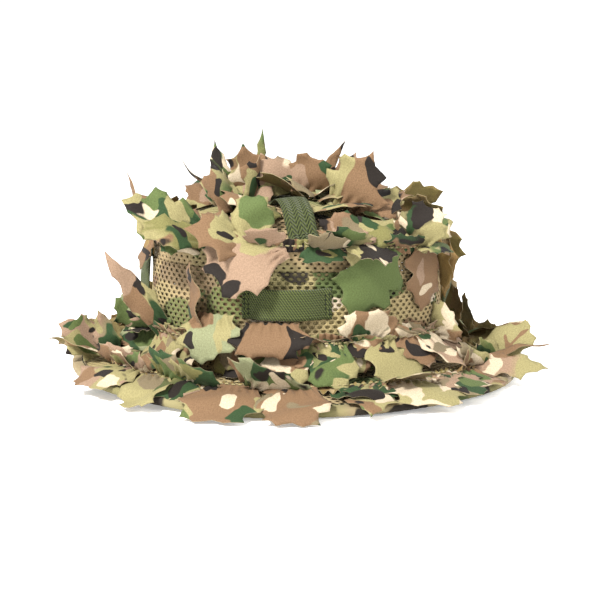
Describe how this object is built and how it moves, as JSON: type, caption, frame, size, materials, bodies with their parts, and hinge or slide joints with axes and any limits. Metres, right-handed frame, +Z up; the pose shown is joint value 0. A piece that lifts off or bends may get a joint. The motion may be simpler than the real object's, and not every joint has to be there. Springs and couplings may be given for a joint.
{
  "type": "foliage-covered bush hat",
  "caption": "Soft round-brimmed bush hat with perforated mesh crown and brim, webbing foliage loops and gathered strips of camouflage cloth leaves.",
  "frame": {"origin": "centre of the head opening, on the plane that the brim's edge rests on", "axes": "+X to the wearer's front, +Y to the wearer's left, +Z up out of the crown"},
  "size_m": [0.354, 0.3142, 0.1667],
  "materials": {
    "mesh": "matt perforated camouflage mesh",
    "lining": "matt woven cloth",
    "binding": "matt woven camouflage cloth",
    "webbing": "matt woven webbing",
    "leaf_cloth": "slightly glossy printed camouflage cloth"
  },
  "bodies": {
    "root": {"crown_side_right": "mesh", "crown_side_left": "mesh", "crown_top": "mesh", "crown_seam_tape": "lining", "crown_mesh_band": "mesh", "sweatband": "lining", "brim_mesh": "mesh", "brim_stiffener": "lining", "brim_underside": "mesh", "brim_binding": "binding", "loop_side_right": "webbing", "loop_side_left": "webbing", "loop_front": "webbing", "loop_rear": "webbing", "loop_top_right": "webbing", "loop_top_left": "webbing", "leaf_strip_brim_right": "leaf_cloth", "leaf_strip_brim_left": "leaf_cloth", "leaf_strip_base_right": "leaf_cloth", "leaf_strip_base_left": "leaf_cloth", "leaf_strip_edge_right": "leaf_cloth", "leaf_strip_edge_left": "leaf_cloth", "leaf_strip_dome_front": "leaf_cloth", "leaf_strip_dome_rear": "leaf_cloth", "leaf_strip_dome_centre": "leaf_cloth"}
  },
  "joints": []
}
